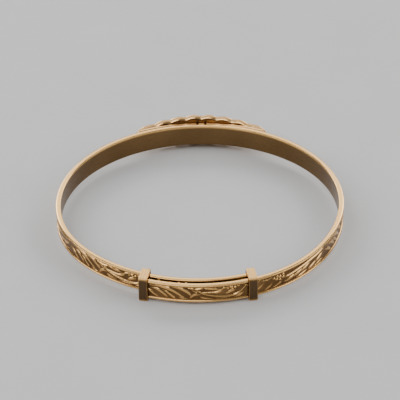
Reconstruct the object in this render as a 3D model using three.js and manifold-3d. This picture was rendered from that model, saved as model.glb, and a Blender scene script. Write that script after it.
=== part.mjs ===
// Expanding bangle bracelet: a springy gold strip whose two ends overlap at the front and slide
// through a pair of box collars, with a scalloped flower-and-leaf ornament at the back.
// Millimetres, +Z up. The origin is at the middle of the bounding box's bottom.
// +Y points to the ornament, -Y to the overlap. Angles are degrees, counter-clockwise from +X.
import * as THREE from 'three';
import { mergeVertices } from 'three/addons/utils/BufferGeometryUtils.js';
import Module from 'manifold-3d';

const wasm = await Module();
wasm.setup();

// ---------------------------------------------------------------- driving dimensions

// strip
const BAND_RADIUS = 31.5;        // centreline radius at the back and sides
const BAND_THICKNESS = 1.1;
const LAP_STEP = 0.95;           // each lapped end runs this far inside or outside the centreline
const HEIGHT_FRONT = 4.3;        // strip height where the ends slide over each other
const HEIGHT_BACK = 5.1;         // strip height under the ornament
const RIM_WIDTH = 0.4;           // plain border along both edges of the outer face
const RIM_BEVEL = 0.1;
const FIELD_DEPTH = 0.2;         // the ornamented field lies this far below the rims
const BACK = 90;                 // angle of the ornament's middle
const FRONT = -90;               // angle of the overlap's middle

// where the strip flexes: one hinge on each side stands for its springing
const FLEX_ANGLE = -4.6;         // right side; the left side mirrors it
const FLEX_GAP = 0.3;            // slit at the hinge, so the cut ends clear each other

// collars
const COLLAR_ANGLE = 20.85;      // from the middle of the overlap to each collar's middle
const COLLAR_SKEW = 11;          // collars sit straighter than the strip's normal there
const COLLAR_WIDTH = 1.9;        // along the strip
const COLLAR_HEIGHT = 5.7;
const COLLAR_DEPTH = 4.2;        // through both strips
const COLLAR_HEIGHT_WALL = 0.5;
const COLLAR_DEPTH_WALL = 0.25;
const END_INSET = 0.25;          // a strip's end stops this far inside its collar's far side

// ornament, laid out flat as (u along the band, v up, w outwards) and wrapped round it
const SOLDER_GAP = 0.05;         // soldered faces stand this far apart
const BACKING_THICKNESS = 0.85;
const BACKING_END = 15.4;        // u of each backing strip's outer end
const POST_HALF = 0.65;          // the centre post is twice this wide
const POST_GAP = 0.6;            // slit between the post and each backing strip
const PLATE_THICKNESS = 0.4;
const BORDER_THICKNESS = 1.25;   // the border wire stands proud of the plate that it frames
const BORDER_WIDTH = 0.7;
const LOBE_PITCH = 3.72;
const LOBE_DEPTH = 0.42;         // from the line along the crests to the notches
const LOBE_CRESTS = [3.95, 3.65, 3.2, 2.55];  // half heights, from the middle outwards
const TIP_LENGTH = 1.5;          // rounded tip beyond the last lobe
const TIP_TURNS = [30, 55, 75, 88];  // degrees round the tip at which it has a step
const LOBE_STEPS = 6;            // straight steps along each lobe's edge

// ---------------------------------------------------------------- derived dimensions

const OUTER_LAP_RADIUS = BAND_RADIUS + LAP_STEP;
const BAND_OUTSIDE = BAND_RADIUS + BAND_THICKNESS / 2;
const BACKING_INSIDE = BAND_OUTSIDE + SOLDER_GAP;
const PLATE_INSIDE = BACKING_INSIDE + BACKING_THICKNESS + SOLDER_GAP;
const PLATE_OUTSIDE = PLATE_INSIDE + PLATE_THICKNESS;
const FACE_RADIUS = PLATE_OUTSIDE + SOLDER_GAP;      // what is soldered on the plate starts here
const LOBE_RADIUS = ((LOBE_PITCH / 2) ** 2 + LOBE_DEPTH ** 2) / (2 * LOBE_DEPTH);
const LOBES_END = LOBE_CRESTS.length * LOBE_PITCH;
const BOSS_TOP = 1.25;           // height of the flower's boss above the plate

// the ring's centre, placed so that the origin is at the middle of the bounding box's bottom
const RING_Z = LOBE_CRESTS[0];
const FRONT_REACH = OUTER_LAP_RADIUS + BAND_THICKNESS / 2;
const BACK_REACH = FACE_RADIUS + BOSS_TOP;
const RING_Y = (FRONT_REACH - BACK_REACH) / 2;

const rad = THREE.MathUtils.degToRad;
const deg = THREE.MathUtils.radToDeg;
const smooth = THREE.MathUtils.smoothstep;

// ---------------------------------------------------------------- materials

function gold(colour, roughness) {
  return new THREE.MeshStandardMaterial({ color: colour, roughness, metalness: 1 });
}

const bandGold = gold(0xd9b07a, 0.28);
const collarGold = gold(0xd8bb84, 0.38);
const ornamentGold = gold(0xd6a873, 0.3);

// ---------------------------------------------------------------- helpers

// A closed geometry as a manifold-3d solid, and back.
function solid(geometry) {
  const bare = geometry.index ? geometry.toNonIndexed() : geometry.clone();
  bare.deleteAttribute('normal');
  bare.deleteAttribute('uv');
  const merged = mergeVertices(bare, 1e-4);
  return new wasm.Manifold(new wasm.Mesh({
    numProp: 3,
    vertProperties: merged.attributes.position.array,
    triVerts: new Uint32Array(merged.index.array),
  }));
}

function geometryOf(made) {
  const mesh = made.getMesh();
  const geometry = new THREE.BufferGeometry();
  geometry.setAttribute('position', new THREE.BufferAttribute(mesh.vertProperties, 3));
  geometry.setIndex(new THREE.BufferAttribute(mesh.triVerts, 1));
  return geometry;
}

// Moves every vertex of a geometry: place(x, y, z) returns the new [x, y, z].
function mapVertices(geometry, place) {
  const position = geometry.attributes.position;
  for (let i = 0; i < position.count; i++) {
    position.setXYZ(i, ...place(position.getX(i), position.getY(i), position.getZ(i)));
  }
  return geometry;
}

function polar(radius, angle, z) {
  return [radius * Math.cos(rad(angle)), radius * Math.sin(rad(angle)), z];
}

// Wraps (u, v, w) round the back of the ring: u runs along the plate, w is the radius.
function onBack(u, v, w) {
  return polar(w, BACK + deg(u / PLATE_OUTSIDE), v);
}

const ring = new THREE.Group();

function add(name, geometry, material) {
  const mesh = new THREE.Mesh(geometry, material);
  mesh.name = name;
  ring.add(mesh);
  return mesh;
}

// ---------------------------------------------------------------- strip

// Angle away from the middle of the overlap, 0 at the front and 180 at the back.
function fromFront(angle) {
  return Math.abs(THREE.MathUtils.euclideanModulo(angle - FRONT + 180, 360) - 180);
}

function bandHeight(angle) {
  const widening = smooth(fromFront(angle), 26, 165);
  return HEIGHT_FRONT + (HEIGHT_BACK - HEIGHT_FRONT) * widening;
}

// side is -1 for the strip that ends inside the lap, +1 for the one outside, 0 for the back.
function bandCentre(angle, side) {
  const joined = smooth(fromFront(angle), 24, 76);
  return BAND_RADIUS + side * LAP_STEP * (1 - joined);
}

// A length of strip from one angle to another, with raised rims on its outer face.
function strip(name, fromAngle, toAngle, side) {
  const steps = Math.ceil(Math.abs(toAngle - fromAngle) / 3);
  const box = new THREE.BoxGeometry(1, 1, 1, steps, 5, 1);
  const geometry = mapVertices(box, (x, y, z) => {
    const angle = THREE.MathUtils.lerp(fromAngle, toAngle, x + 0.5);
    const half = bandHeight(angle) / 2;
    const row = Math.round(Math.abs(y) * 10);        // 5 at an edge, 3 inside the rim, 1 in the field
    const drop = { 5: 0, 3: RIM_WIDTH, 1: RIM_WIDTH + RIM_BEVEL }[row];
    const outside = z > 0;
    const depth = outside && row === 1 ? FIELD_DEPTH : 0;
    const radius = bandCentre(angle, side) + z * BAND_THICKNESS - depth;
    return polar(radius, angle, Math.sign(y) * (half - drop));
  });
  return add(name, geometry, bandGold);
}

const flexSlit = deg(FLEX_GAP / 2 / BAND_RADIUS);
const endAngle = COLLAR_ANGLE + deg((COLLAR_WIDTH / 2 - END_INSET) / BAND_RADIUS);

strip('band_back', FLEX_ANGLE + flexSlit, 180 - FLEX_ANGLE - flexSlit, 0);
strip('band_right_outer_end', FRONT - endAngle, FLEX_ANGLE - flexSlit, 1);
strip('band_left_inner_end', -180 - FLEX_ANGLE + flexSlit, FRONT + endAngle, -1);

// ---------------------------------------------------------------- collars

// side is -1 for the left collar and +1 for the right one.
function collar(name, side) {
  const outer = solid(new THREE.BoxGeometry(COLLAR_WIDTH, COLLAR_DEPTH, COLLAR_HEIGHT));
  const channel = solid(new THREE.BoxGeometry(
    2 * COLLAR_WIDTH,
    COLLAR_DEPTH - 2 * COLLAR_DEPTH_WALL,
    COLLAR_HEIGHT - 2 * COLLAR_HEIGHT_WALL,
  ));
  const mesh = add(name, geometryOf(outer.subtract(channel)), collarGold);
  mesh.position.set(...polar(BAND_RADIUS, FRONT + side * COLLAR_ANGLE, 0));
  mesh.rotation.z = rad(side * (COLLAR_ANGLE - COLLAR_SKEW));
  return mesh;
}

collar('collar_left', -1);
collar('collar_right', 1);

// ---------------------------------------------------------------- ornament: backing and plate

// A rectangle of sheet wrapped round the back of the ring.
function backSheet(fromU, toU, height, inside, thickness, steps) {
  const box = new THREE.BoxGeometry(1, 1, 1, steps, 1, 1);
  return mapVertices(box, (x, y, z) => onBack(
    THREE.MathUtils.lerp(fromU, toU, x + 0.5), y * height, inside + (z + 0.5) * thickness,
  ));
}

const backingHeight = HEIGHT_BACK - 0.1;
const backingStart = POST_HALF + POST_GAP;
for (const [name, side] of [['backing_strip_right', -1], ['backing_strip_left', 1]]) {
  const ends = [side * backingStart, side * BACKING_END].sort((a, b) => a - b);
  add(name, backSheet(...ends, backingHeight, BACKING_INSIDE, BACKING_THICKNESS, 14), ornamentGold);
}
add(
  'centre_post',
  backSheet(-POST_HALF, POST_HALF, backingHeight, BACKING_INSIDE, BACKING_THICKNESS, 1),
  ornamentGold,
);

// Half height of the line that joins the crests.
function crestLine(along) {
  const place = Math.min(Math.max(along / LOBE_PITCH - 0.5, 0), LOBE_CRESTS.length - 1);
  const lobe = Math.min(Math.floor(place), LOBE_CRESTS.length - 2);
  return LOBE_CRESTS[lobe] + (LOBE_CRESTS[lobe + 1] - LOBE_CRESTS[lobe]) * (place - lobe);
}

// Half height of the scalloped outline at u, shrunk inwards by inset.
function outline(u, inset) {
  const along = Math.abs(u);
  if (along >= LOBES_END) {
    const notch = LOBE_CRESTS.at(-1) - LOBE_DEPTH;
    const beyond = Math.min((along - LOBES_END) / (TIP_LENGTH - inset), 1);
    return (notch - inset) * Math.sqrt(1 - beyond ** 2);
  }
  const lobe = Math.floor(along / LOBE_PITCH);
  const across = along - (lobe + 0.5) * LOBE_PITCH;
  const sag = LOBE_RADIUS - Math.sqrt(LOBE_RADIUS ** 2 - across ** 2);
  return crestLine(along) - sag - inset;
}

// The u of every step along the outline: even steps in each lobe, then the rounded tip.
function outlineSteps(inset) {
  const half = [];
  for (let i = 0; i <= LOBE_CRESTS.length * LOBE_STEPS; i++) half.push(i * LOBE_PITCH / LOBE_STEPS);
  for (const turn of TIP_TURNS) half.push(LOBES_END + (TIP_LENGTH - inset) * Math.sin(rad(turn)));
  return [...half.slice(1).reverse().map((u) => -u), ...half];
}

// A sheet with the scalloped outline, wrapped round the back of the ring.
function scallopedSheet(inset, inside, thickness) {
  const us = outlineSteps(inset);
  const box = new THREE.BoxGeometry(1, 1, 1, us.length - 1, 1, 1);
  return mapVertices(box, (x, y, z) => {
    const u = us[Math.round((x + 0.5) * (us.length - 1))];
    return onBack(u, 2 * y * outline(u, inset), inside + (z + 0.5) * thickness);
  });
}

const plate = scallopedSheet(BORDER_WIDTH + SOLDER_GAP, PLATE_INSIDE, PLATE_THICKNESS);
add('scalloped_plate', plate, ornamentGold);

// The outline as a closed loop of points, anticlockwise in (u, v).
function outlineLoop(inset) {
  const lower = outlineSteps(inset).map((u) => new THREE.Vector2(u, -outline(u, inset)));
  const upper = outlineSteps(inset).map((u) => new THREE.Vector2(u, outline(u, inset))).reverse();
  return [...lower, ...upper];
}

// The border: a square wire between the outline and a line inset from it.
function borderWire() {
  const inner = outlineLoop(BORDER_WIDTH);
  const outside = PLATE_INSIDE + BORDER_THICKNESS;
  const corners = outlineLoop(0).flatMap((edge, i) => [
    onBack(edge.x, edge.y, PLATE_INSIDE),
    onBack(edge.x, edge.y, outside),
    onBack(inner[i].x, inner[i].y, outside),
    onBack(inner[i].x, inner[i].y, PLATE_INSIDE),
  ]);
  const index = [];
  for (let i = 0; i < inner.length; i++) {
    const here = 4 * i;
    const next = 4 * ((i + 1) % inner.length);
    for (let k = 0; k < 4; k++) {
      const l = (k + 1) % 4;
      index.push(here + k, next + k, next + l);
      index.push(here + k, next + l, here + l);
    }
  }
  const geometry = new THREE.BufferGeometry();
  geometry.setAttribute('position', new THREE.Float32BufferAttribute(corners.flat(), 3));
  geometry.setIndex(index);
  return geometry;
}

add('scalloped_border', borderWire(), ornamentGold);

// ---------------------------------------------------------------- ornament: flower and leaves

// A flat-backed dome, unit radius in the uv plane and unit height.
function dome(rings, sectors) {
  const ball = new THREE.SphereGeometry(1, sectors, rings);
  ball.rotateX(Math.PI / 2);
  return mapVertices(ball, (x, y, z) => [x, y, Math.max(z, 0)]);
}

// Places a piece made flat, with its length along x, on the plate's face at (u, v), turned by turn.
function onPlate(geometry, u, v, turn) {
  const c = Math.cos(rad(turn));
  const s = Math.sin(rad(turn));
  return mapVertices(geometry, (x, y, z) => onBack(
    u + c * x - s * y, v + s * x + c * y, FACE_RADIUS + z,
  ));
}

// A leaf or petal: pointed at its tip, rounder at its root, with its root at the origin.
function leaf(length, width, height) {
  return mapVertices(dome(6, 10), (x, y, z) => {
    const along = (x + 1) / 2;
    const taper = 1 - 0.55 * along ** 2;
    return [along * length, y * taper * width / 2, z * height];
  });
}

// A wire scroll lying on the plate through the given (u, v) points.
function scrollWire(points, radius) {
  const lift = FACE_RADIUS + radius;
  const path = new THREE.CatmullRomCurve3(
    points.map(([u, v]) => new THREE.Vector3(...onBack(u, v, lift))),
  );
  const section = new THREE.Shape().absarc(0, 0, radius * 0.97, 0, 2 * Math.PI);
  return new THREE.ExtrudeGeometry(section, {
    extrudePath: path, steps: 4 * (points.length - 1), curveSegments: 3, bevelEnabled: false,
  });
}

const PETALS = 6;
const PETAL_ROOT = 0.95;          // petals start just outside the boss
for (let i = 0; i < PETALS; i++) {
  const turn = i * 360 / PETALS;
  const petal = leaf(1.9, 1.75, 0.6);
  petal.translate(PETAL_ROOT, 0, 0);
  add(`petal_${i + 1}`, onPlate(petal, 0, 0, turn), ornamentGold);
}

const boss = mapVertices(dome(8, 12), (x, y, z) => [0.78 * x, 0.78 * y, BOSS_TOP * z]);
add('flower_boss', onPlate(boss, 0, 0, 0), ornamentGold);

// Each spray, given for the +u side: a stem wire with five leaves and an end bud.
const STEM = [[3.15, 0], [4.6, 0.5], [6.4, 0.2], [8.2, -0.45], [10.2, -0.3], [11.55, 0.05]];
const LEAVES = [
  { u: 4.3, v: 1.2, turn: 18, length: 2.7, width: 1.2 },
  { u: 4.5, v: -0.2, turn: -33, length: 2.6, width: 1.15 },
  { u: 7.2, v: 0.55, turn: 18, length: 2.5, width: 1.1 },
  { u: 7.5, v: -1.15, turn: -6, length: 2.3, width: 1.0 },
  { u: 9.9, v: 0.35, turn: 16, length: 2.1, width: 0.9 },
];
const BUD = { u: 11.9, v: 0.05, length: 2.1, width: 1.1 };
const STEM_RADIUS = 0.24;
const LEAF_HEIGHT = 0.6;

for (const [word, side] of [['right', -1], ['left', 1]]) {
  const turned = (turn) => (side > 0 ? turn : 180 - turn);
  const stem = STEM.map(([u, v]) => [side * u, v]);
  add(`stem_${word}`, scrollWire(stem, STEM_RADIUS), ornamentGold);
  LEAVES.forEach((one, i) => {
    const blade = leaf(one.length, one.width, LEAF_HEIGHT);
    add(`leaf_${word}_${i + 1}`, onPlate(blade, side * one.u, one.v, turned(one.turn)), ornamentGold);
  });
  const bud = leaf(BUD.length, BUD.width, LEAF_HEIGHT);
  add(`bud_${word}`, onPlate(bud, side * BUD.u, BUD.v, turned(0)), ornamentGold);
}

// ---------------------------------------------------------------- the whole bangle

ring.position.set(0, RING_Y, RING_Z);
const bangle = new THREE.Group();
bangle.add(ring);

export default bangle;
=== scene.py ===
"""An expanding gold bangle: an embossed strip whose ends slide through two collars at the front, and
a scalloped flower-and-leaf ornament at the back. Shapes are worked out in millimetres round the
ring's centre, with the front at -y."""
import math

import bpy
import numpy as np
from mathutils import Matrix, Vector


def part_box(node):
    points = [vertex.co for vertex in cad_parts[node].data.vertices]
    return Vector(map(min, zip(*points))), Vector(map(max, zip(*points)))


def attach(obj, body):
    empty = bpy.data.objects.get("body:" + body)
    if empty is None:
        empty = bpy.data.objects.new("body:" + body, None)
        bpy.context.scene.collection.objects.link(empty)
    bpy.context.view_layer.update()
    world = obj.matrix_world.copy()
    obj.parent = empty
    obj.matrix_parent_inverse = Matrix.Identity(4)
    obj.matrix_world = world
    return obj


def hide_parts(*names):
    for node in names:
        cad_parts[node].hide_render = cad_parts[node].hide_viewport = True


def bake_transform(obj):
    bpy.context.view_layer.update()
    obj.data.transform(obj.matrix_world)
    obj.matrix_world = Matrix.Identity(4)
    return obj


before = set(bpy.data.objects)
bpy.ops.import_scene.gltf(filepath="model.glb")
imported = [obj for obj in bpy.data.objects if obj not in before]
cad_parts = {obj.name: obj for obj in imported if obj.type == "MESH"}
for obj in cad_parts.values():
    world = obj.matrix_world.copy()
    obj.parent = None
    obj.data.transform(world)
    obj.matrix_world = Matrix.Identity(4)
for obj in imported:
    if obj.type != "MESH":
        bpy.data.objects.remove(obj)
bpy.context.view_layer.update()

# ------------------------------------------------------------------ sizes, in millimetres and degrees

MM = 0.001

# The strip. Its ends lap at the front, and angles along it are measured from the front.
BAND_RADIUS = 31.5          # the strip's centreline
BAND_THICKNESS = 1.1
LAP_STEP = 0.95             # each lapped end runs this far inside or outside the centreline
LAP_STRAIGHT = 24           # the ends run as true arcs up to this angle
LAP_JOINED = 76             # and have met the ring's own circle at this one
HEIGHT_FRONT = 4.3
HEIGHT_BACK = 5.1
HEIGHT_CHANGES = (26, 165)  # the height grows between these angles
RIM_RADIUS = 0.26           # the rounded rims along both edges of the outer face
EDGE_ROUND = 0.2            # the inner face's rounded edges
CROWN_POWER = 0.6           # how full the edges are: 1 would be a round crown, and less is flatter
FIELD_DEPTH = 0.32          # from the top of the rims down to the ground between the embossed leaves
LEAF_RISE = 0.97            # the share of that depth that the tallest leaf stands up
STATION = 0.1               # spacing of the strip's cross-sections
FIELD_ROWS = 34
BEAD_STEPS = 6

# The embossed pattern.
TILE = 44.0                 # it repeats after this length
SHIFT_RIGHT = 0.0           # how far it is rolled along each half of the strip
SHIFT_LEFT = 22.8
GROUND_RELIEF = 0.1         # the rippled ground's height, as a share of the leaves'
GROUND_RIPPLES = 100        # ripples in one repeat
GROUND_SLANT = 2.5          # how many of them a line straight across the strip would cross, per mm
RIM_CHANNEL = 0.2           # width of the channel left open along each rim

# The collars.
COLLAR_ANGLE = 20.85
COLLAR_SKEW = 11            # each is turned this far back from square to the ring
COLLAR_WIDTH = 1.9
COLLAR_DEPTH = 4.2
COLLAR_HEIGHT = 5.7
COLLAR_WALLS = (0.25, 0.5)  # thickness beside the strips, and above and below them
COLLAR_ROUND = 0.16         # how far its two rims are rounded in
CORNER_ROUND = 0.3
GROOVE_DEPTH = 0.03
STRIP_END = COLLAR_ANGLE + 1.2      # each end of the strip stops inside its own collar

# The ornament, in layers outwards from the strip.
SOLDER_GAP = 0.05
BACKING_THICKNESS = 0.85
BACKING_ENDS = (1.25, 15.4)
POST_HALF = 0.65
PLATE_THICKNESS = 0.4
STIPPLE = 0.42              # spacing of the punched dots on the plate's ground
STIPPLE_DEPTH = 0.05
BORDER_WIDTH = 0.7
BORDER_THICKNESS = 1.25
LOBE_PITCH = 3.72
LOBE_DEPTH = 0.42           # from the line along the crests to the notches
LOBE_CRESTS = (3.95, 3.65, 3.2, 2.55)
TIP_LENGTH = 1.5
PETALS = 6
BOSS_RADIUS = 0.78
BOSS_TOP = 1.25
STEM_RADIUS = 0.24
LEAF_HEIGHT = 0.6

BACKING_INSIDE = BAND_RADIUS + BAND_THICKNESS / 2 + SOLDER_GAP
PLATE_INSIDE = BACKING_INSIDE + BACKING_THICKNESS + SOLDER_GAP
PLATE_OUTSIDE = PLATE_INSIDE + PLATE_THICKNESS
FACE_RADIUS = PLATE_OUTSIDE + SOLDER_GAP
LOBE_RADIUS = ((LOBE_PITCH / 2) ** 2 + LOBE_DEPTH ** 2) / (2 * LOBE_DEPTH)
LOBES_END = len(LOBE_CRESTS) * LOBE_PITCH

# The view and its lights, in metres, degrees and watts.
CAMERA_DISTANCE = 0.4
CAMERA_ELEVATION = 33.4
CAMERA_AZIMUTH = 1.2
CAMERA_ROLL = 0.95
CAMERA_LENS = 161.1         # in millimetres
CAMERA_SHIFT = (0.00025, 0.01775)
FLOOR_SIZE = 3.0
FLOOR_DROP = 0.00002        # keeps the floor just clear of the bangle
SKY = (0.9, 0.95, 1.0, 1)
SKY_STRENGTH = 0.2
SOFTBOXES = {               # name: (place, size, power)
    "back": ((0.0, 0.65, 0.42), (1.5, 0.32), 3.0),
    "back_left": ((-0.36, 0.6, 0.32), (0.35, 0.35), 1.3),
    "back_right": ((0.38, 0.6, 0.32), (0.35, 0.35), 1.2),
    "top": ((-0.05, 0.05, 0.8), (0.8, 0.8), 1.9),
    "front": ((-0.2, -0.5, 0.6), (0.6, 0.35), 2.2),
    "left": ((-0.6, -0.08, 0.33), (0.55, 0.35), 1.9),
    "right": ((0.6, -0.08, 0.33), (0.55, 0.35), 1.9),
}

# The ring's centre in the frame, in metres, from the box of the strip's back.
band_low, band_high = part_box("band_back")
RING = np.array([
    (band_low.x + band_high.x) / 2,
    band_high.y - (BAND_RADIUS + BAND_THICKNESS / 2) * MM,
    (band_low.z + band_high.z) / 2,
])


# ------------------------------------------------------------------ small helpers

def smooth(x, low, high):
    """0 below low, 1 above high, and an easy S between them."""
    t = np.clip((np.asarray(x, float) - low) / (high - low), 0, 1)
    return t * t * (3 - 2 * t)


def polar(radius, degrees, z):
    radius, a, z = np.broadcast_arrays(radius, np.radians(degrees), z)
    return np.stack([radius * np.cos(a), radius * np.sin(a), z], axis=-1)


def on_back(u, v, w):
    """u along the ornament, v up, w the radius, wrapped round the back of the ring."""
    return polar(w, 90 + np.degrees(np.asarray(u) / PLATE_OUTSIDE), v)


def catmull(points, per_span):
    """A smooth line through the points, with per_span steps between each pair."""
    p = np.asarray(points, float)
    p = np.vstack([2 * p[0] - p[1], p, 2 * p[-1] - p[-2]])
    out = []
    for i in range(1, len(p) - 2):
        a, b, c, d = p[i - 1:i + 3]
        for t in np.arange(per_span) / per_span:
            out.append(0.5 * (2 * b + (c - a) * t + (2 * a - 5 * b + 4 * c - d) * t ** 2
                              + (3 * b - a - 3 * c + d) * t ** 3))
    out.append(p[-2])
    return np.array(out)


def make_mesh(name, points, faces, sharp_angle=40):
    """A mesh object from points in millimetres round the ring's centre."""
    mesh = bpy.data.meshes.new(name)
    mesh.from_pydata((np.asarray(points) * MM + RING).tolist(), [], faces)
    mesh.validate()
    mesh.polygons.foreach_set("use_smooth", [True] * len(mesh.polygons))
    mesh.set_sharp_from_angle(angle=math.radians(sharp_angle))
    piece = bpy.data.objects.new(name, mesh)
    bpy.context.scene.collection.objects.link(piece)
    return piece


def loft(name, rings, closed=False, sharp_angle=40):
    """A closed skin over rings of points, shape (stations, points, 3). Open lofts get flat caps."""
    stations, count, _ = rings.shape
    index = np.arange(stations * count).reshape(stations, count)
    if closed:
        index = np.vstack([index, index[:1]])
    nxt = np.roll(index, -1, axis=1)
    quads = np.stack([index[:-1], nxt[:-1], nxt[1:], index[1:]], axis=-1).reshape(-1, 4).tolist()
    if not closed:
        quads.append(index[0, ::-1].tolist())
        quads.append(index[-1].tolist())
    piece = make_mesh(name, rings.reshape(-1, 3), quads, sharp_angle)
    outward(piece)
    return piece


def volume(mesh):
    """Six times the enclosed volume, negative for a mesh that is inside out."""
    mesh.calc_loop_triangles()
    co = np.zeros(len(mesh.vertices) * 3)
    mesh.vertices.foreach_get("co", co)
    tri = np.zeros(len(mesh.loop_triangles) * 3, int)
    mesh.loop_triangles.foreach_get("vertices", tri)
    a, b, c = (co.reshape(-1, 3)[tri.reshape(-1, 3)[:, i]] for i in range(3))
    return float((a * np.cross(b, c)).sum())


def outward(piece):
    if volume(piece.data) < 0:
        piece.data.flip_normals()


def store(piece, name, values):
    """One number per point, for the piece's material."""
    attribute = piece.data.attributes.new(name, "FLOAT", "POINT")
    attribute.data.foreach_set("value", values.astype(np.float32))


def finish_piece(piece, material, nodes, body=None):
    piece.data.materials.clear()
    piece.data.materials.append(material)
    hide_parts(*nodes)
    if body:
        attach(piece, body)
    return piece


# ------------------------------------------------------------------ materials

GOLD = (0.90, 0.56, 0.20, 1)
GOLD_WARM = (0.88, 0.49, 0.17, 1)
PLATED_GOLD = (0.72, 0.46, 0.22, 1)
# the strip's inner face: satin gold, painted dark brown as shade
SHADED_SATIN_GOLD = (0.145, 0.085, 0.035, 1)
SHADED_SATIN_LIGHTER = (0.235, 0.14, 0.062, 1)
# a duller gold between the embossed hollows and the high parts, also part of the painted shade in the
# crevices beside the rims
DULL_GOLD = (0.48, 0.28, 0.115, 1)
# dark brown painted as shade on the collars' upright faces and on the ornament's faces turned to the
# strip, and tarnish in the ornament's hollows and low parts
SHADE_AND_TARNISH_BROWN = (0.12, 0.074, 0.038, 1)
# tarnish in the embossed hollows, also painted as shade in the crevices beside the rims
TARNISH_AND_SHADE = (0.155, 0.08, 0.03, 1)
FLOOR_GREYS = ((0.56, 0.555, 0.55, 1), (0.62, 0.615, 0.61, 1))
SATIN_BUMP = 0.00004        # in metres
BRUSHED_BUMP = 0.00005


class Nodes:
    """A short way to write a material's node tree.

    Each piece carries a number per point for its material, which is 0 in hollows and on faces painted
    dark as shade, and 1 on high parts and faces bright with wear; the strip also carries one that is 1 on
    its inner face, which is satin and painted dark brown as shade."""

    def __init__(self, name):
        self.material = bpy.data.materials.new(name)
        self.material.use_nodes = True
        self.tree = self.material.node_tree
        self.shader = self.tree.nodes["Principled BSDF"]
        self.coords = self.new("ShaderNodeTexCoord").outputs["Object"]

    def new(self, kind, inputs=None, **settings):
        node = self.tree.nodes.new(kind)
        for key, value in settings.items():
            setattr(node, key, value)
        for key, value in (inputs or {}).items():
            if isinstance(value, bpy.types.NodeSocket):
                self.tree.links.new(value, node.inputs[key])
            else:
                node.inputs[key].default_value = value
        return node

    def noise(self, scale, stretch=(1, 1, 1), detail=4.0):
        mapping = self.new("ShaderNodeMapping", {"Vector": self.coords, "Scale": stretch})
        inputs = {"Vector": mapping.outputs[0], "Scale": scale, "Detail": detail}
        return self.new("ShaderNodeTexNoise", inputs).outputs[0]

    def remap(self, value, low, high, to_low, to_high):
        inputs = {"Value": value, "From Min": low, "From Max": high, "To Min": to_low, "To Max": to_high}
        return self.new("ShaderNodeMapRange", inputs).outputs[0]

    def mix(self, factor, a, b):
        return self.new("ShaderNodeMix", {0: factor, 6: a, 7: b}, data_type="RGBA").outputs[2]

    def attribute(self, name):
        return self.new("ShaderNodeAttribute", attribute_name=name).outputs["Fac"]

    def add(self, a, b):
        return self.new("ShaderNodeMath", {0: a, 1: b}, operation="ADD").outputs[0]

    def multiply(self, a, b):
        return self.new("ShaderNodeMath", {0: a, 1: b}, operation="MULTIPLY").outputs[0]

    def bump(self, height, strength, distance):
        inputs = {"Height": height, "Strength": strength, "Distance": distance}
        return self.new("ShaderNodeBump", inputs).outputs[0]

    def done(self, colour, roughness, normal=None):
        self.shader.inputs["Metallic"].default_value = 1.0
        self.tree.links.new(colour, self.shader.inputs["Base Color"])
        self.tree.links.new(roughness, self.shader.inputs["Roughness"])
        if normal:
            self.tree.links.new(normal, self.shader.inputs["Normal"])
        return self.material


def band_gold():
    """Polished rims, painted darker as shade down into their crevices, tarnish in the embossed hollows,
    and a satin inner face with fine lines round it, painted dark brown as shade.
    """
    m = Nodes("band_gold")
    relief_and_shade = m.attribute("relief_and_shade")
    satin_and_shade = m.attribute("satin_and_shade")
    cloudy = m.noise(160)
    worn_and_shaded = m.add(relief_and_shade, m.remap(cloudy, 0.3, 0.7, -0.1, 0.1))
    exposed = m.remap(worn_and_shaded, 0.0, 0.35, 0, 1)
    hollows = m.mix(exposed, TARNISH_AND_SHADE, DULL_GOLD)
    outside = m.mix(m.remap(worn_and_shaded, 0.25, 0.75, 0, 1), hollows, m.mix(cloudy, GOLD, GOLD_WARM))
    # the inner face takes the satin colours, painted dark brown as shade
    colour = m.mix(satin_and_shade, outside, m.mix(m.noise(90), SHADED_SATIN_GOLD, SHADED_SATIN_LIGHTER))
    lines = m.noise(500, stretch=(0.4, 0.4, 14), detail=3)
    matt = m.multiply(satin_and_shade, m.remap(lines, 0.3, 0.7, 0.06, 0.2))
    rough = m.add(m.remap(exposed, 0, 1, 0.4, 0.17), matt)
    return m.done(colour, rough, m.bump(m.add(m.multiply(satin_and_shade, lines), cloudy), 0.12, SATIN_BUMP))


def collar_gold():
    """Brushed gold: bright on its top and bottom and partly along its ends, with its upright faces and
    the inside of its sleeve painted dark brown as shade.
    """
    m = Nodes("collar_gold")
    bright = m.attribute("relief_and_shade")
    brushed = m.noise(700, stretch=(12, 1, 0.6), detail=3)
    cloudy = m.noise(420, detail=5)
    worn_and_shaded = m.remap(m.add(bright, m.remap(cloudy, 0.3, 0.7, -0.12, 0.12)), 0.1, 0.9, 0, 1)
    # the upright faces take the dark brown: painted shade
    colour = m.mix(worn_and_shaded, SHADE_AND_TARNISH_BROWN, m.mix(cloudy, GOLD, GOLD_WARM))
    return m.done(colour, m.remap(brushed, 0.3, 0.7, 0.3, 0.46), m.bump(brushed, 0.15, BRUSHED_BUMP))


def ornament_gold(name, ground):
    """Gold that is bright on its high parts: ground, from 0 to 1, is how brown its low parts are, which
    shows tarnish in hollows and painted shade on faces turned to the strip.
    """
    m = Nodes(name)
    height = m.attribute("relief_and_shade")
    cloudy = m.noise(400)
    gold = m.mix(cloudy, GOLD_WARM, PLATED_GOLD)
    worn_and_shaded = m.remap(m.add(height, m.remap(cloudy, 0.3, 0.7, -0.15, 0.15)), 0.0, 0.6, 0, 1)
    colour = m.mix(worn_and_shaded, m.mix(ground, GOLD_WARM, SHADE_AND_TARNISH_BROWN), gold)
    return m.done(colour, m.remap(worn_and_shaded, 0, 1, 0.45, 0.22), m.bump(cloudy, 0.15, BRUSHED_BUMP))


band_material = band_gold()
collar_material = collar_gold()
ornament_material = ornament_gold("ornament_gold", 0.85)
plain_material = ornament_gold("ornament_edge_gold", 0.35)


# ------------------------------------------------------------------ the embossed pattern

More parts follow.
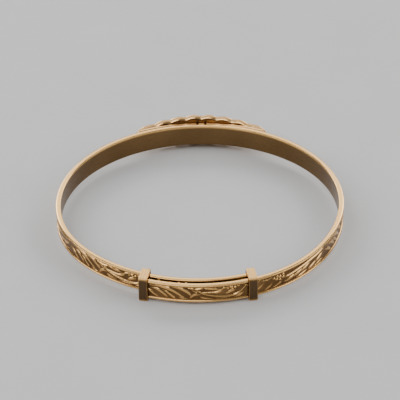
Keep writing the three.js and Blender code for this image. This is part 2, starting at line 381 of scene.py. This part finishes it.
# One repeat of the scroll on the unrolled strip: s along it and v up from the middle.
# Each stroke is (half width, height share, points), swelling towards its middle.
LEAVES = [
    (0.5, 1.0, [(-10.6, 1.3), (-8.4, 1.5), (-6.3, 1.05), (-4.5, 0.05), (-2.9, -1.25)]),
    (0.42, 0.9, [(-9.7, 0.7), (-8.5, 0.45), (-7.4, -0.3), (-6.5, -1.4)]),
    (0.4, 0.85, [(-11.4, 0.2), (-10.3, -0.15), (-9.3, -0.85), (-8.5, -1.5)]),
    (0.4, 0.9, [(-7.3, 0.5), (-6.2, -0.2), (-5.3, -1.0), (-4.8, -1.6)]),
    (0.48, 1.0, [(-5.6, 1.55), (-3.8, 1.35), (-2.4, 0.5), (-1.5, -0.55)]),
    (0.3, 0.8, [(-4.0, -1.0), (-3.0, -1.5), (-1.9, -1.6)]),
    (0.46, 1.0, [(1.2, 1.35), (2.6, 1.3), (4.1, 0.95)]),
    (0.36, 0.9, [(3.2, -0.1), (4.3, 0.25), (5.1, 0.9)]),
    (0.4, 0.9, [(5.8, -0.4), (6.6, 0.1), (7.7, 0.4)]),
    (0.38, 0.85, [(7.5, -1.6), (8.6, -1.25), (9.5, -0.5)]),
    (0.34, 0.8, [(-1.7, -1.35), (-0.9, -0.45), (0.5, -0.25)]),
    (0.36, 0.75, [(0.4, -0.9), (1.6, -1.35), (3.2, -1.55)]),
    (0.3, 0.7, [(3.6, -1.4), (5.0, -1.55), (6.6, -1.5)]),
    (0.32, 0.85, [(11.6, -1.2), (12.9, -0.5), (13.9, 0.4)]),
    (0.26, 0.8, [(13.4, 1.25), (14.7, 1.05), (16.0, 1.3)]),
    (0.28, 0.8, [(14.3, -1.5), (15.2, -0.9), (16.0, -0.2)]),
    (0.3, 0.8, [(16.2, -1.5), (17.2, -1.05), (18.4, -0.65)]),
    (0.42, 1.0, [(19.1, -1.0), (20.5, -0.75), (21.9, -0.3)]),
    (0.4, 0.95, [(21.4, -0.75), (22.8, -0.45), (24.2, 0.05)]),
    (0.42, 1.0, [(23.7, -0.45), (25.1, -0.1), (26.5, 0.45)]),
    (0.34, 0.9, [(22.4, -1.5), (24.0, -1.35), (25.6, -0.9)]),
    (0.38, 0.9, [(25.9, -1.2), (27.4, -0.85), (28.9, -0.2)]),
    (0.42, 1.0, [(28.6, -0.6), (30.0, -0.2), (31.4, 0.5)]),
    (0.3, 0.85, [(28.2, -1.5), (29.9, -1.4), (31.6, -1.0)]),
]
STEMS = [
    (0.2, 0.95, [(-2.9, 1.75), (-1.4, 1.42), (-0.3, 1.2), (0.9, 1.5), (1.9, 1.75)]),
    (0.25, 1.0, [(-0.2, 0.8), (1.0, 0.05), (2.7, -0.5), (4.9, -0.85), (6.6, -0.95), (7.9, -0.75),
                 (8.9, 0.0), (10.0, 1.2)]),
    (0.2, 0.9, [(0.9, 0.3), (2.4, 0.2), (3.7, 0.25), (4.6, 0.7), (5.3, 1.25), (6.4, 1.45)]),
    (0.2, 0.7, [(-1.2, 0.9), (-0.5, 0.45), (-0.3, 0.0)]),
    (0.24, 1.0, [(19.3, 0.2), (21.5, 0.4), (24.0, 0.75), (27.0, 1.05), (29.5, 1.15), (31.8, 1.5)]),
    (0.2, 0.8, [(9.8, 1.5), (11.0, 0.9), (12.0, 0.9), (13.2, 1.6)]),
]
# Round buds: (s, v, radius).
BUDS = [
    (5.4, 1.3, 0.3), (6.2, 1.05, 0.28), (6.9, 1.3, 0.34), (7.7, 1.1, 0.3), (8.4, 1.42, 0.28),
    (7.1, 0.8, 0.24),
    (17.1, 0.5, 0.38), (17.9, 0.9, 0.4), (18.7, 0.55, 0.38), (17.9, 0.15, 0.36), (17.2, 1.2, 0.3),
    (18.7, 1.25, 0.32), (16.4, 0.9, 0.28),
]


def pattern_tile(half_field):
    """Heights from 0 to 1 over one repeat, shape (stations, rows)."""
    s = np.arange(round(TILE / STATION)) * STATION
    v = np.linspace(half_field, -half_field, FIELD_ROWS)
    grid_s, grid_v = np.meshgrid(s, v, indexing="ij")
    ripple = np.sin(2 * math.pi * (GROUND_RIPPLES * grid_s / TILE + GROUND_SLANT * grid_v))
    height = GROUND_RELIEF * (0.5 + 0.5 * ripple)

    def away(x, y):
        """Distances from (x, y), the short way round the repeat."""
        return (grid_s - x + TILE / 2) % TILE - TILE / 2, grid_v - y

    def stroke(half_width, top, points, pointed, veined):
        """Raises one leaf or stem: pointed is how sharp its ends are, veined is 1 for a grooved leaf."""
        line = catmull(points, 16)
        best = np.full(grid_s.shape, np.inf)
        share = np.zeros(grid_s.shape)
        aside = np.zeros(grid_s.shape)
        for i, (x, y) in enumerate(line):
            run = line[min(i + 1, len(line) - 1)] - line[max(i - 1, 0)]
            run = run / np.linalg.norm(run)
            ds, dv = away(x, y)
            far = np.hypot(ds, dv)
            near = far < best
            best[near] = far[near]
            share[near] = i / (len(line) - 1)
            aside[near] = (run[0] * dv - run[1] * ds)[near]
        swell = np.sin(math.pi * (0.05 + 0.9 * share))
        width = half_width * swell ** pointed
        across = np.clip(aside / width, -1, 1)
        body = np.sqrt(np.clip(1 - (best / width) ** 2, 0, 1))
        # a leaf's upper edge stands highest, it falls away to its lower edge, and a vein runs down it
        vein = np.exp(-(across / 0.22) ** 2)
        lean = (1 + veined * (0.35 * across - 0.3 * vein)) / (1 + 0.2 * veined)
        np.maximum(height, top * swell ** (0.5 * pointed) * body * lean, out=height)

    for half_width, top, points in LEAVES:
        stroke(half_width, top, points, 0.7, 1)
    for half_width, top, points in STEMS:
        stroke(half_width, top, points, 0.3, 0)
    for x, y, radius in BUDS:
        ds, dv = away(x, y)
        np.maximum(height, np.sqrt(np.clip(1 - (ds ** 2 + dv ** 2) / radius ** 2, 0, 1)), out=height)
    return np.clip(height, 0, 1) * smooth(half_field - np.abs(grid_v), 0.0, RIM_CHANNEL)


# ------------------------------------------------------------------ the strip

def band_height(from_front):
    return HEIGHT_FRONT + (HEIGHT_BACK - HEIGHT_FRONT) * smooth(np.abs(from_front), *HEIGHT_CHANGES)


def band_centre(from_front, side):
    return BAND_RADIUS + side * LAP_STEP * (1 - smooth(np.abs(from_front), LAP_STRAIGHT, LAP_JOINED))


def arc(centre_n, centre_v, radius, start, end, count):
    a = np.radians(np.linspace(start, end, count))
    return np.stack([centre_n + radius * np.cos(a), centre_v + radius * np.sin(a)], axis=-1)


def crown(half, sign, count):
    """The strip's edge, worn nearly flat on top and rounded over to its inner and outer faces."""
    a = np.radians(np.linspace(180, 0, count))
    drop = np.where(a > math.pi / 2, EDGE_ROUND, RIM_RADIUS)
    across = np.sign(np.cos(a)) * np.abs(np.cos(a)) ** CROWN_POWER
    rise = np.abs(np.sin(a)) ** CROWN_POWER
    edge = np.stack([BAND_THICKNESS / 2 * across, half - drop * (1 - rise)], axis=-1)
    return edge * (1, sign)


def strip_profile(half):
    """One cross-section as (n outwards, v up), and a number for the stretch that each point is on."""
    t = BAND_THICKNESS / 2
    bead = arc(t - RIM_RADIUS, half - RIM_RADIUS, RIM_RADIUS, -12, -90, BEAD_STEPS)
    field_half = half - 2 * RIM_RADIUS
    field_v = np.linspace(field_half, -field_half, FIELD_ROWS + 2)[1:-1]
    field = np.stack([np.full(FIELD_ROWS, t - FIELD_DEPTH), field_v], axis=-1)
    inner_v = np.linspace(-half + EDGE_ROUND, half - EDGE_ROUND, 12)[1:-1]
    inner = np.stack([np.full(len(inner_v), -t), inner_v], axis=-1)
    parts = [crown(half, 1, 15), bead, field, (bead * (1, -1))[::-1], crown(half, -1, 11)[::-1], inner]
    kinds = np.concatenate([np.full(len(p), k) for k, p in enumerate(parts)])
    return np.vstack(parts), kinds


# The numbers of strip_profile's stretches after the upper crown, which is 0.
UPPER_BEAD, FIELD, LOWER_BEAD, LOWER_CROWN, INNER = range(1, 6)
# Painted shade along the rims: each bead darkens from its crest down into its crevice.
CREVICE_SHADE = np.linspace(1, 0.2, BEAD_STEPS)   # the relief, from a bead's crest down into its crevice


def strip(name, side, shift, nodes):
    """Half of the real strip: from its tip in the lap, round one side, to the middle of the back."""
    # stations spaced evenly along the strip's own length: s is measured from the front
    fine = np.linspace(-STRIP_END, 180, 4000) * side
    radius = band_centre(fine, side)
    steps = np.abs(np.diff(np.radians(fine))) * (radius[1:] + radius[:-1]) / 2
    along = np.concatenate([[0], np.cumsum(steps)])
    front = np.interp(0, fine * side, along)
    count = round(along[-1] / STATION)
    at = np.linspace(0, along[-1], count)
    from_front = np.interp(at, along, fine * side) * side
    s = (at - front) * side

    tile = pattern_tile(HEIGHT_FRONT / 2 - 2 * RIM_RADIUS)
    row = np.round(((s - shift) % TILE) / STATION).astype(int) % len(tile)
    sections, relief_and_shade = [], []
    for angle, pick in zip(from_front, row):
        profile, kinds = strip_profile(band_height(angle) / 2)
        raised = np.ones(len(profile))
        raised[kinds == FIELD] = tile[pick]
        # painted shade: the beads darken from their crests down into the crevices beside the field
        raised[kinds == UPPER_BEAD] = CREVICE_SHADE
        raised[kinds == LOWER_BEAD] = CREVICE_SHADE[::-1]
        profile[kinds == FIELD, 0] += tile[pick] * FIELD_DEPTH * LEAF_RISE
        radius = band_centre(angle, side) + profile[:, 0]
        sections.append(polar(radius, angle - 90, profile[:, 1]))
        relief_and_shade.append(raised)
    piece = loft(name, np.array(sections), sharp_angle=80)
    store(piece, "relief_and_shade", np.concatenate(relief_and_shade))
    # the inner face is satin, and its material paints it dark brown as shade
    satin_and_shade = (kinds == INNER) | ((kinds == LOWER_CROWN) & (profile[:, 0] < 0))
    store(piece, "satin_and_shade", np.tile(satin_and_shade, count).astype(float))
    finish_piece(piece, band_material, nodes)
    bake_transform(piece)
    return piece


strip("strip_right", 1, SHIFT_RIGHT, ["band_right_outer_end", "band_back"])
strip("strip_left", -1, SHIFT_LEFT, ["band_left_inner_end", "band_back"])


# ------------------------------------------------------------------ the collars

def rounded_rectangle(width, height, radius, per_corner, per_side=0):
    """Points round the rectangle, with per_side extra ones along each straight side."""
    corners = []
    for turn, (sx, sy) in zip((0, 90, 180, 270), ((1, 1), (-1, 1), (-1, -1), (1, -1))):
        centre = (sx * (width / 2 - radius), sy * (height / 2 - radius))
        corners.append(arc(*centre, radius, turn, turn + 90, per_corner))
    points = []
    share = (np.arange(per_side) + 1)[:, None] / (per_side + 1)
    for corner, following in zip(corners, corners[1:] + corners[:1]):
        points += [corner, corner[-1] + share * (following[0] - corner[-1])]
    return np.vstack(points)


def collar(name, side, node, body):
    """A box sleeve with two shallow grooves running round it."""
    across = np.linspace(-1, 1, 37)
    out = np.abs(across)
    edge = COLLAR_ROUND * (1 - np.sqrt(np.clip(1 - smooth(out, 0.8, 1.0) ** 2, 0, 1)))
    groove = GROOVE_DEPTH * np.exp(-(((out - 1 / 3) / 0.07) ** 2))
    rings, relief_and_shade = [], []

    def ring(x, width, height, radius):
        loop = rounded_rectangle(width, height, radius, 6, 12)
        rings.append(np.column_stack([np.full(len(loop), x * COLLAR_WIDTH / 2), loop]))
        return loop[:, 1]

    for x, inset, cut in zip(across, edge, groove):
        sink = inset + cut
        up = ring(x, COLLAR_DEPTH - 2 * sink, COLLAR_HEIGHT - 2 * sink, CORNER_ROUND)
        # full gold on the top and bottom faces, half along the ends and a little less in the grooves; the
        # upright faces are left at 0 and painted dark brown as shade
        level = smooth(np.abs(up), COLLAR_HEIGHT / 2 - 0.45, COLLAR_HEIGHT / 2 - 0.1)
        relief_and_shade.append(np.maximum(level, 0.5 * smooth(abs(x), 0.75, 1)) * (1 - 0.3 * cut / GROOVE_DEPTH))
    beside, above = COLLAR_WALLS
    # the inside of the sleeve, painted dark as shade
    for x in np.linspace(1, -1, 5):
        up = ring(x, COLLAR_DEPTH - 2 * beside, COLLAR_HEIGHT - 2 * above, 0.1)
        relief_and_shade.append(np.full(len(up), 0.2))
    turn = math.radians(side * (COLLAR_ANGLE - COLLAR_SKEW))
    spin = np.array(Matrix.Rotation(turn, 3, "Z"))
    rings = np.array(rings) @ spin.T + polar(BAND_RADIUS, side * COLLAR_ANGLE - 90, 0)
    piece = loft(name, rings, closed=True, sharp_angle=50)
    store(piece, "relief_and_shade", np.concatenate(relief_and_shade))
    return finish_piece(piece, collar_material, [node], body)


collar("reeded_collar_left", -1, "collar_left", "right_arm")
collar("reeded_collar_right", 1, "collar_right", "left_arm")


# ------------------------------------------------------------------ the ornament

def ornament_piece(piece, nodes, relief_and_shade, material=ornament_material):
    store(piece, "relief_and_shade", relief_and_shade)
    return finish_piece(piece, material, nodes, "back")


def curved_bar(name, node, from_u, to_u):
    """A strip of sheet bent round the back of the band, with rounded edges."""
    us = np.linspace(from_u, to_u, max(int(abs(to_u - from_u) / 0.35), 4))
    out, up = rounded_rectangle(BACKING_THICKNESS, HEIGHT_BACK - 0.1, 0.14, 4).T
    middle = BACKING_INSIDE + BACKING_THICKNESS / 2
    rings = np.array([on_back(np.full(len(up), u), up, middle + out) for u in us])
    piece = loft(name, rings, sharp_angle=50)
    return ornament_piece(piece, [node], np.ones(rings.shape[0] * rings.shape[1]), plain_material)


curved_bar("backing_right", "backing_strip_right", -BACKING_ENDS[1], -BACKING_ENDS[0])
curved_bar("backing_left", "backing_strip_left", BACKING_ENDS[0], BACKING_ENDS[1])
curved_bar("post", "centre_post", -POST_HALF, POST_HALF)


def outline(u):
    """Half height of the scalloped outline at u: arcs hung between the crests."""
    along = np.abs(u)
    lobe = np.minimum((along / LOBE_PITCH).astype(int), len(LOBE_CRESTS) - 1)
    across = np.clip(along - (lobe + 0.5) * LOBE_PITCH, -LOBE_PITCH / 2, LOBE_PITCH / 2)
    sag = LOBE_RADIUS - np.sqrt(LOBE_RADIUS ** 2 - across ** 2)
    crest = np.interp(along, (np.arange(len(LOBE_CRESTS)) + 0.5) * LOBE_PITCH, LOBE_CRESTS)
    notch = LOBE_CRESTS[-1] - LOBE_DEPTH
    beyond = np.clip((along - LOBES_END) / TIP_LENGTH, 0, 1)
    return np.where(along < LOBES_END, crest - sag, notch * np.sqrt(1 - beyond ** 2))


def outline_loop(step, rounding):
    """The outline as an evenly spaced closed loop of (u, v), with its cusps softened."""
    tip = LOBES_END + TIP_LENGTH
    us = np.linspace(-tip, tip, 3000)
    lower = np.column_stack([us, -outline(us)])
    upper = lower[::-1] * (1, -1)
    closed = np.vstack([lower, upper[1:]])
    along = np.concatenate([[0], np.cumsum(np.linalg.norm(np.diff(closed, axis=0), axis=1))])
    count = round(along[-1] / step)
    at = np.arange(count) * along[-1] / count
    loop = np.column_stack([np.interp(at, along, closed[:, 0]), np.interp(at, along, closed[:, 1])])
    for _ in range(rounding):
        loop = loop / 2 + (np.roll(loop, 1, axis=0) + np.roll(loop, -1, axis=0)) / 4
    return loop


def loop_normals(loop):
    """Unit vectors out of the loop."""
    run = np.roll(loop, -1, axis=0) - np.roll(loop, 1, axis=0)
    out = np.column_stack([run[:, 1], -run[:, 0]])
    return out / np.linalg.norm(out, axis=1, keepdims=True)


# The border's section as (inwards from the outline, outwards from the ring), before rounding.
BORDER_SECTION = [
    (0.0, 0.45),
    (0.42, 0.0),
    (BORDER_WIDTH, 0.0),
    (BORDER_WIDTH, 0.9),
    (0.38, BORDER_THICKNESS),
    (0.3, BORDER_THICKNESS),
    (0.0, 1.1),
]


def cut_corners(points, times):
    """Rounds a closed outline by cutting its corners off, time after time."""
    p = np.asarray(points, float)
    for _ in range(times):
        following = np.roll(p, -1, axis=0)
        p = np.stack([0.75 * p + 0.25 * following, 0.25 * p + 0.75 * following], axis=1).reshape(-1, 2)
    return p


def border():
    """A heavy rounded wire along the scallops, bevelled next to the strip and thinner at the tips."""
    loop = outline_loop(0.12, 14)
    inward, rise = cut_corners(BORDER_SECTION, 2).T
    thin = 1 - 0.5 * smooth(np.abs(loop[:, 0]), LOBES_END - 1.5, LOBES_END + TIP_LENGTH)
    rings = [on_back(u - out_u * inward, v - out_v * inward, PLATE_INSIDE + rise * share)
             for (u, v), (out_u, out_v), share in zip(loop, loop_normals(loop), thin)]
    piece = loft("scalloped_wire", np.array(rings), closed=True, sharp_angle=60)
    # the wire's face turned to the strip, beyond the bevel, is painted dark brown as shade
    relief_and_shade = np.tile(1 - smooth(inward, 0.34, 0.48) * (rise < 0.5), len(loop))
    return ornament_piece(piece, ["scalloped_border"], relief_and_shade)


border()


def plate():
    """The plate inside the border, its ground punched all over with small round dots."""
    inset = BORDER_WIDTH + SOLDER_GAP
    tip = LOBES_END + TIP_LENGTH - inset
    us = np.linspace(-tip, tip, 420)
    end = np.sqrt(np.clip(1 - ((np.abs(us) - tip + 0.7) / 0.72).clip(0) ** 2, 0.02, 1))
    half = np.maximum(outline(us) - inset, 0.12) * end
    rows = np.linspace(-1, 1, 91)
    grid_v = half[:, None] * rows
    grid_u = np.broadcast_to(us[:, None], grid_v.shape)
    dots = np.cos(2 * math.pi * grid_u / STIPPLE) * np.cos(2 * math.pi * grid_v / STIPPLE)
    sunk = STIPPLE_DEPTH * smooth(dots, 0.0, 0.9)
    upper = on_back(grid_u, grid_v, PLATE_OUTSIDE - sunk)[:, ::-1]
    lower = on_back(grid_u[:, ::6], grid_v[:, ::6], PLATE_INSIDE)
    piece = loft("stippled_plate", np.concatenate([lower, upper], axis=1), sharp_angle=60)
    # the inner face, turned to the strip, is painted dark brown as shade, and the punched dots are darker
    # than the ground between them
    polish = 0.3 * (1 - sunk[:, ::-1] / STIPPLE_DEPTH)
    relief_and_shade = np.concatenate([np.zeros(lower.shape[:2]), polish], axis=1)
    return ornament_piece(piece, ["scalloped_plate"], relief_and_shade.ravel())


plate()


def placed(points, u, v, turn):
    """Points (x along, y across, z up) turned by turn degrees and laid on the plate at (u, v)."""
    cos, sin = math.cos(math.radians(turn)), math.sin(math.radians(turn))
    x, y, z = np.moveaxis(points, -1, 0)
    return on_back(u + cos * x - sin * y, v + sin * x + cos * y, FACE_RADIUS + z)


def leaf(name, node, shape, place, veins, start=0.0):
    """A cupped leaf with a groove down its middle and side veins, flat underneath.

    shape is (length, width, height), and place is (u, v, degrees turned)."""
    length, width, height = shape
    # a runs from the leaf's base at 0 to its tip at 1, and b across it from -1 to 1
    a = (1 - np.cos(np.linspace(0.12, math.pi - 0.12, 30))) / 2
    b = np.linspace(-1, 1, 23)
    grid_a, grid_b = np.meshgrid(a, b, indexing="ij")
    oval = np.sqrt(1 - (2 * grid_a - 1) ** 2)
    half = oval * (1 - 0.55 * grid_a ** 2) * width / 2
    dome = oval * np.sqrt(np.clip(1 - grid_b ** 2, 0, 1)) ** 0.8
    crease = 0.3 * np.exp(-(grid_b / 0.16) ** 2)
    ribs = 0.1 * np.cos(2 * math.pi * veins * (grid_a - 0.25 * np.abs(grid_b))) * np.abs(grid_b)
    rise = height * dome * np.clip(1 - crease + ribs, 0, 1)
    top = np.stack([start + grid_a * length, grid_b * half, rise], axis=-1)
    base = top[:, -2:0:-1] * (1, 1, 0)
    piece = loft(name, placed(np.concatenate([top, base], axis=1), *place), sharp_angle=70)
    relief_and_shade = np.concatenate([rise / height, np.zeros(base.shape[:2])], axis=1)
    return ornament_piece(piece, [node], relief_and_shade.ravel())


for i in range(PETALS):
    leaf(f"flower_petal_{i + 1}", f"petal_{i + 1}", (1.9, 1.75, LEAF_HEIGHT),
         (0, 0, i * 360 / PETALS), 2, start=0.95)


def boss():
    """A domed boss with a ring of grains round its shoulder."""
    rise = np.radians(np.linspace(0, 87, 16))
    turn = np.radians(np.arange(0, 360, 7.5))
    rings = []
    for a in rise:
        bead = 1 - 0.1 * math.exp(-((math.degrees(a) - 24) / 7) ** 2) * (0.5 + 0.5 * np.cos(12 * turn))
        radius = BOSS_RADIUS * math.cos(a) * bead
        rings.append(np.stack([radius * np.cos(turn), radius * np.sin(turn),
                               np.full(len(turn), BOSS_TOP * math.sin(a))], axis=-1))
    piece = loft("boss", placed(np.array(rings), 0, 0, 0), sharp_angle=60)
    relief_and_shade = np.repeat(np.sin(rise), len(turn))
    return ornament_piece(piece, ["flower_boss"], relief_and_shade)


boss()

# The stem's line, and (u, v, turn, length, width) of what grows on it, for the left-hand spray.
STEM = [(3.15, 0), (4.6, 0.5), (6.4, 0.2), (8.2, -0.45), (10.2, -0.3), (11.55, 0.05)]
SPRAY = [
    (4.3, 1.2, 18, 2.7, 1.2),
    (4.5, -0.2, -33, 2.6, 1.15),
    (7.2, 0.55, 18, 2.5, 1.1),
    (7.5, -1.15, -6, 2.3, 1.0),
    (9.9, 0.35, 16, 2.1, 0.9),
]
BUD = (11.9, 0.05, 0, 2.1, 1.1)


def stem(name, node, side):
    """A wire of two strands twisted together, lying on the plate."""
    line = catmull(STEM, 16)
    line[:, 0] *= side
    run = np.gradient(line, axis=0)
    run /= np.linalg.norm(run, axis=1, keepdims=True)
    across = np.column_stack([-run[:, 1], run[:, 0]])
    turn = np.radians(np.arange(0, 360, 20))
    rings = []
    for i, (point, aside) in enumerate(zip(line, across)):
        strands = 1 - 0.16 * (0.5 + 0.5 * np.cos(2 * turn + i * 0.55))
        radius = STEM_RADIUS * 0.96 * strands
        sideways = radius * np.cos(turn)
        rings.append(on_back(point[0] + aside[0] * sideways, point[1] + aside[1] * sideways,
                             FACE_RADIUS + STEM_RADIUS + radius * np.sin(turn)))
    piece = loft(name, np.array(rings), sharp_angle=70)
    relief_and_shade = np.tile(0.5 + 0.5 * np.sin(turn), len(line))
    return ornament_piece(piece, [node], relief_and_shade)


def growth(name, node, numbers, side, veins):
    """One leaf or bud of a spray, mirrored for the other side."""
    u, v, turn, length, width = numbers
    place = (side * u, v, turn if side > 0 else 180 - turn)
    leaf(name, node, (length, width, LEAF_HEIGHT), place, veins)


for word, side in (("right", -1), ("left", 1)):
    stem(f"twisted_stem_{word}", f"stem_{word}", side)
    for i, numbers in enumerate(SPRAY, 1):
        growth(f"veined_leaf_{word}_{i}", f"leaf_{word}_{i}", numbers, side, 5)
    growth(f"folded_bud_{word}", f"bud_{word}", BUD, side, 3)


# ------------------------------------------------------------------ floor, lights and camera

def floor():
    """A plain pale surface, sloping from the lowest scallops to the collars' undersides."""
    collar_low, collar_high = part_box("collar_left")
    border_low, border_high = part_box("scalloped_border")
    rise = collar_low.z - border_low.z
    run = border_high.y - (collar_low.y + collar_high.y) / 2
    bpy.ops.mesh.primitive_grid_add(x_subdivisions=2, y_subdivisions=2, size=FLOOR_SIZE)
    ground = bpy.context.object
    ground.name = "floor"
    ground.rotation_euler = (-math.atan2(rise, run), 0, 0)
    ground.location = (0, border_high.y, border_low.z - FLOOR_DROP)
    m = Nodes("floor")
    grey = m.mix(m.noise(60, detail=6), *FLOOR_GREYS)
    m.tree.links.new(grey, m.shader.inputs["Base Color"])
    m.shader.inputs["Roughness"].default_value = 0.7
    ground.data.materials.append(m.material)


def softbox(name, place, size, power):
    """A rectangular light aimed at the bangle."""
    light = bpy.data.lights.new(name, "AREA")
    light.shape = "RECTANGLE"
    light.size, light.size_y = size
    light.energy = power
    lamp = bpy.data.objects.new(name, light)
    lamp.location = place
    lamp.rotation_euler = (-Vector(place)).to_track_quat("-Z", "Y").to_euler()
    bpy.context.scene.collection.objects.link(lamp)


def studio():
    """A dim cool sky and the softboxes."""
    world = bpy.data.worlds.new("studio")
    world.use_nodes = True
    background = world.node_tree.nodes["Background"]
    background.inputs["Color"].default_value = SKY
    background.inputs["Strength"].default_value = SKY_STRENGTH
    bpy.context.scene.world = world
    for name, (place, size, power) in SOFTBOXES.items():
        softbox(f"{name}_softbox", place, size, power)


def camera():
    """Looks down on the front, with the ring's centre a little below the middle of the view."""
    data = bpy.data.cameras.new("camera")
    data.lens = CAMERA_LENS
    data.shift_x, data.shift_y = CAMERA_SHIFT
    data.clip_start = 0.01
    view = bpy.data.objects.new("camera", data)
    up, round_z = math.radians(CAMERA_ELEVATION), math.radians(CAMERA_AZIMUTH)
    away = Vector((math.sin(round_z) * math.cos(up), -math.cos(round_z) * math.cos(up), math.sin(up)))
    turn = (-away).to_track_quat("-Z", "Y").to_matrix().to_4x4()
    roll = Matrix.Rotation(math.radians(-CAMERA_ROLL), 4, "Z")
    view.matrix_world = Matrix.Translation(Vector(RING) + away * CAMERA_DISTANCE) @ turn @ roll
    bpy.context.scene.collection.objects.link(view)
    bpy.context.scene.camera = view


floor()
studio()
camera()
